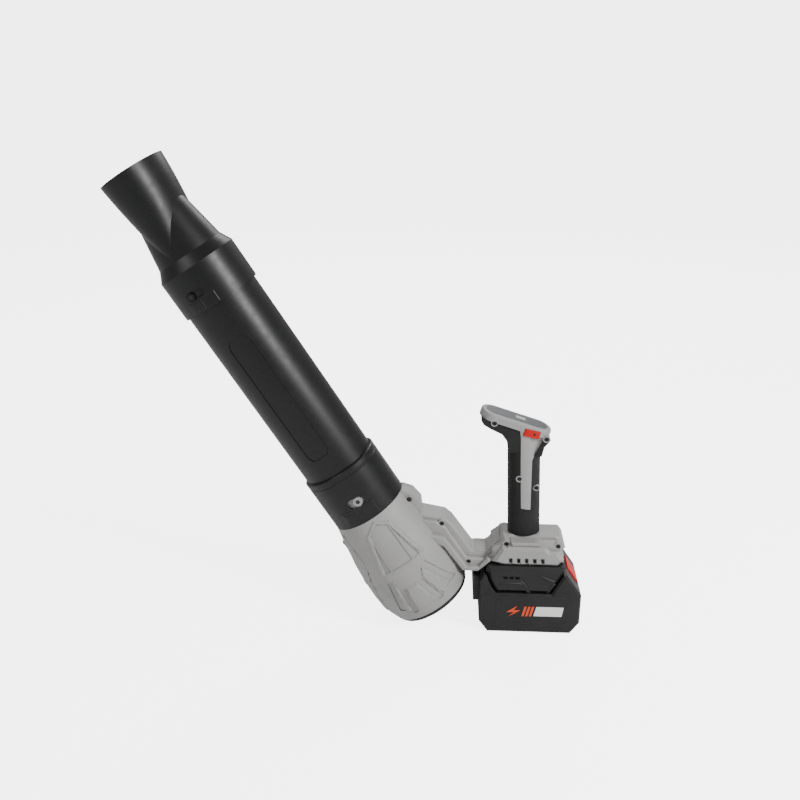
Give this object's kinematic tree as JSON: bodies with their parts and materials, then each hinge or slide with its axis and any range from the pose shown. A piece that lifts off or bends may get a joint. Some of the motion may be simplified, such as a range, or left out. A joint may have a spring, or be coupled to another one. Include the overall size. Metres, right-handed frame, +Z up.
{
  "type": "leaf blower",
  "caption": "Battery leaf blower: slanted axial fan barrel and tube with a flattened flaring nozzle, arched arm, rubber grip and slide-on battery foot.",
  "frame": {"origin": "centre of the battery's flat bottom face, on which the tool stands", "axes": "+Z up; +X to the rear, away from the nozzle; +Y to the tool's right side; the tube leans 32.5 degrees from +Z towards -X"},
  "size_m": [0.5048, 0.1106, 0.5276],
  "materials": {
    "housing": "light grey moulded plastic, fine matt grain",
    "tube_black": "satin black moulded plastic",
    "grip_rubber": "soft black rubber, matt",
    "bezel": "grey moulded plastic",
    "badge": "dark grey plate, low sheen",
    "button_red": "red moulded plastic",
    "battery_black": "black moulded plastic, fine grain",
    "guard": "dark grey moulded plastic",
    "mark_orange": "orange badge, low sheen",
    "mark_white": "pale grey print, low sheen",
    "fan": "glass-filled dark plastic",
    "steel": "zinc-plated steel",
    "dark_steel": "blackened steel",
    "copper": "enamelled copper wire",
    "brass": "nickel-brass contact",
    "board": "green circuit board",
    "aluminium": "bare extruded aluminium",
    "lead_black": "insulated lead",
    "cell": "shrink-wrapped cell",
    "holder": "dark moulded plastic"
  },
  "bodies": {
    "housing": {"arm_screws": "dark_steel", "barrel_screws": "dark_steel", "foot_screws": "dark_steel", "grip_screws": "dark_steel", "head_screws": "dark_steel", "barrel_shell_left": "housing", "barrel_shell_right": "housing", "handle_shell_left": "housing", "handle_shell_right": "housing", "battery_leads": "lead_black", "controller_board": "board", "controller_heatsink": "aluminium", "fan_bearing": "steel", "tail_bearing": "steel", "grip_cover_left": "grip_rubber", "grip_cover_right": "grip_rubber", "inlet_guard": "guard", "motor_leads": "lead_black", "switch_leads": "lead_black", "motor_mount": "fan", "motor_stator": "dark_steel", "motor_windings": "copper", "tube_lock_pegs": "housing", "switch_module": "holder", "tail_cone": "fan", "terminal_blades": "brass", "terminal_block": "holder", "top_badge": "bezel", "top_panel": "badge", "tube_seal": "grip_rubber"},
    "rotor": {"impeller": "fan", "impeller_nut": "steel", "motor_shaft": "steel", "motor_rotor": "steel"},
    "tube": {"blower_tube": "tube_black", "nozzle_lock_pegs": "tube_black"},
    "nozzle": {"nozzle": "tube_black"},
    "switch": {"switch_button": "button_red"},
    "latch": {"latch_button": "button_red"},
    "battery": {"battery_lower_case": "battery_black", "battery_upper_case": "battery_black", "battery_cells": "cell", "cell_holder": "holder", "charge_board": "board", "pack_terminals": "brass", "pack_screws": "dark_steel", "side_badges": "mark_white", "side_marks": "mark_orange", "latch_spring": "steel"}
  },
  "joints": [
    {"name": "fan_spin", "type": "hinge", "parent": "housing", "child": "rotor", "pos_m": [-0.184, 0, 0.14], "axis": [-0.5373, 0, 0.8434], "continuous": true},
    {"name": "tube_twist", "type": "hinge", "parent": "housing", "child": "tube", "pos_m": [-0.184, 0, 0.14], "axis": [-0.5373, 0, 0.8434], "range_deg": [0, 7]},
    {"name": "nozzle_twist", "type": "hinge", "parent": "tube", "child": "nozzle", "pos_m": [-0.184, 0, 0.14], "axis": [0.5373, 0, -0.8434], "range_deg": [0, 14]},
    {"name": "switch_push", "type": "slide", "parent": "housing", "child": "switch", "axis": [0, 1, 0], "range_m": [0, 0.003]},
    {"name": "battery_slide", "type": "slide", "parent": "housing", "child": "battery", "axis": [1, 0, 0], "range_m": [0, 0.09]},
    {"name": "latch_press", "type": "slide", "parent": "battery", "child": "latch", "axis": [0, 0, -1], "range_m": [0, 0.0025], "stiffness_N_per_m": 600, "springref_m": -0.001, "deforming": ["latch_spring"]}
  ]
}
